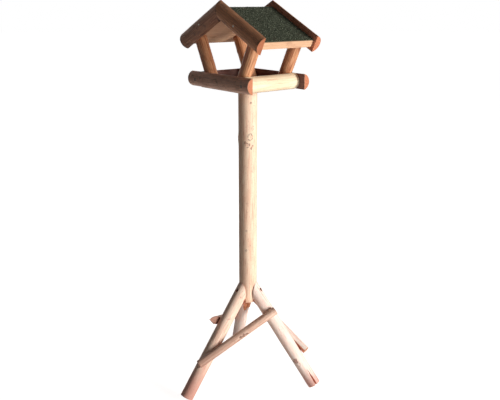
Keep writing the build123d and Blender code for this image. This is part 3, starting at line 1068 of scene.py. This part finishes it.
# ---- roof covering
def make_felt_sheet():
    """The felt's solid as a fine mesh, with low waves over everything but its sawn-off ends."""
    longest_edge = 0.007
    sheet = bmesh.new()
    sheet.from_mesh(frame["nodes"]["roof_felt"].data)
    bmesh.ops.remove_doubles(sheet, verts=sheet.verts[:], dist=1e-6)
    bmesh.ops.dissolve_limit(sheet, angle_limit=math.radians(1), verts=sheet.verts[:], edges=sheet.edges[:])
    for _ in range(6):
        long_edges = [edge for edge in sheet.edges if edge.calc_length() > longest_edge]
        if long_edges:
            bmesh.ops.subdivide_edges(sheet, edges=long_edges, cuts=1, use_grid_fill=True)
    sheet.normal_update()
    for vertex in sheet.verts:
        if abs(vertex.normal.y) < 0.3:
            x, y, _ = vertex.co
            wave = noise.noise((x * 22, y * 22, 0.3)) * 0.0005 + noise.noise((x * 90, y * 90, 4.1)) * 0.0002
            vertex.co += vertex.normal * (wave - 0.0002)
    bmesh.ops.triangulate(sheet, faces=sheet.faces[:])
    data = to_data(sheet, "felt_sheet")
    old_normals = data.attributes.get("custom_normal")
    if old_normals:
        data.attributes.remove(old_normals)
    data.materials.append(felt_finish)
    return data


felt_sheet = make_felt_sheet()
grit = run_tree(make_grit_tree(), felt_sheet.copy(), "grit")
add_piece(felt_sheet, "felt_sheet", "felt", "roof_felt")
add_piece(grit, "felt_grit", "felt")

for node in ("roof_board_right", "roof_board_left", "tray_floor"):
    data = frame["nodes"][node].data
    data.materials.clear()
    data.materials.append(tray_finish if node == "tray_floor" else board_finish)


# ---- room, light and camera
# The floor is paler near the stand as painted light: a pool of bounce light for the legs and lower parts.
floor_near = (0.70, 0.63, 0.60, 1)
floor_far = (0.50, 0.48, 0.47, 1)
floor_radius = 30
sky_tint = (1.0, 0.89, 0.82, 1)
sky_level = 0.035                   # what the sky gives the object; the camera sees it white
middle_of_feeder = (0, 0, 0.7)
foot_of_stand = (0, 0, 0.15)


def floor_finish():
    """A pale floor that the camera and mirrors see nearly white, and that still takes shadows; paler near the
    middle as painted light.
    """
    t = Finish("pale floor")
    reach = t.vector("LENGTH", t.object_place())
    t.done(t.mix(t.ramp(reach, 0.4, 1.6), floor_near, floor_far), 0.9, 0.0)
    glow = t.times(t.seen(), t.ramp(reach, 0.6, 2.0, 0.90, 1.0))
    white = t.get("ShaderNodeEmission", {"Color": (1, 1, 1, 1), "Strength": glow})
    both = t.get("ShaderNodeAddShader", {0: t.shader.outputs[0], 1: white})
    t.feed(t.find("OUTPUT_MATERIAL").inputs["Surface"], both)
    return t.material


def build_room():
    """The floor and the sky."""
    disc = bmesh.new()
    bmesh.ops.create_circle(disc, cap_ends=True, segments=96, radius=floor_radius)
    data = to_data(disc, "floor")
    data.materials.append(floor_finish())
    new_object("floor", data)
    world = bpy.data.worlds.new("studio")
    scene.world = world
    world.use_nodes = True
    t = Tree(world.node_tree)
    seen = t.seen()
    background = t.find("BACKGROUND")
    t.feed(background.inputs["Color"], t.mix(seen, sky_tint, (1, 1, 1, 1)))
    t.feed(background.inputs["Strength"], t.plus(sky_level, t.times(seen, 1 - sky_level)))


def add_softbox(name, aim, azimuth, elevation, distance, size, level, tint):
    """A soft light that stands at these degrees from its aim; at level 1 it lights white as white."""
    lamp = bpy.data.lights.new(name, "AREA")
    lamp.shape = "RECTANGLE"
    lamp.size, lamp.size_y = size
    lamp.energy = level * (math.pi * distance) ** 2
    lamp.color = tint
    box = new_object(name, lamp)
    box.rotation_euler = Euler((math.radians(90 - elevation), 0, math.radians(90 + azimuth)))
    box.location = Vector(aim) + box.rotation_euler.to_matrix() @ Vector((0, 0, distance))
    box.visible_camera = False


build_room()
add_softbox("key", middle_of_feeder, 21, 8, 4.0, (1.0, 2.2), 1.13, (1.0, 0.97, 0.92))
add_softbox("back fill", middle_of_feeder, 152, 12, 4.0, (1.6, 2.0), 0.21, (1.0, 0.97, 0.95))
add_softbox("low fill", foot_of_stand, -6, 2, 1.4, (0.6, 0.5), 0.275, (1.0, 0.96, 0.94))

pitch_down = 17.4
heading = 50.8                      # from +Y, anticlockwise seen from above
camera = new_object("camera", bpy.data.cameras.new("camera"))
camera.data.lens = 45.17
camera.data.sensor_width = 36
camera.location = (1.560, -1.263, 1.293)
camera.rotation_euler = (math.radians(90 - pitch_down), 0, math.radians(heading))
scene.camera = camera
scene.view_settings.view_transform = "Standard"
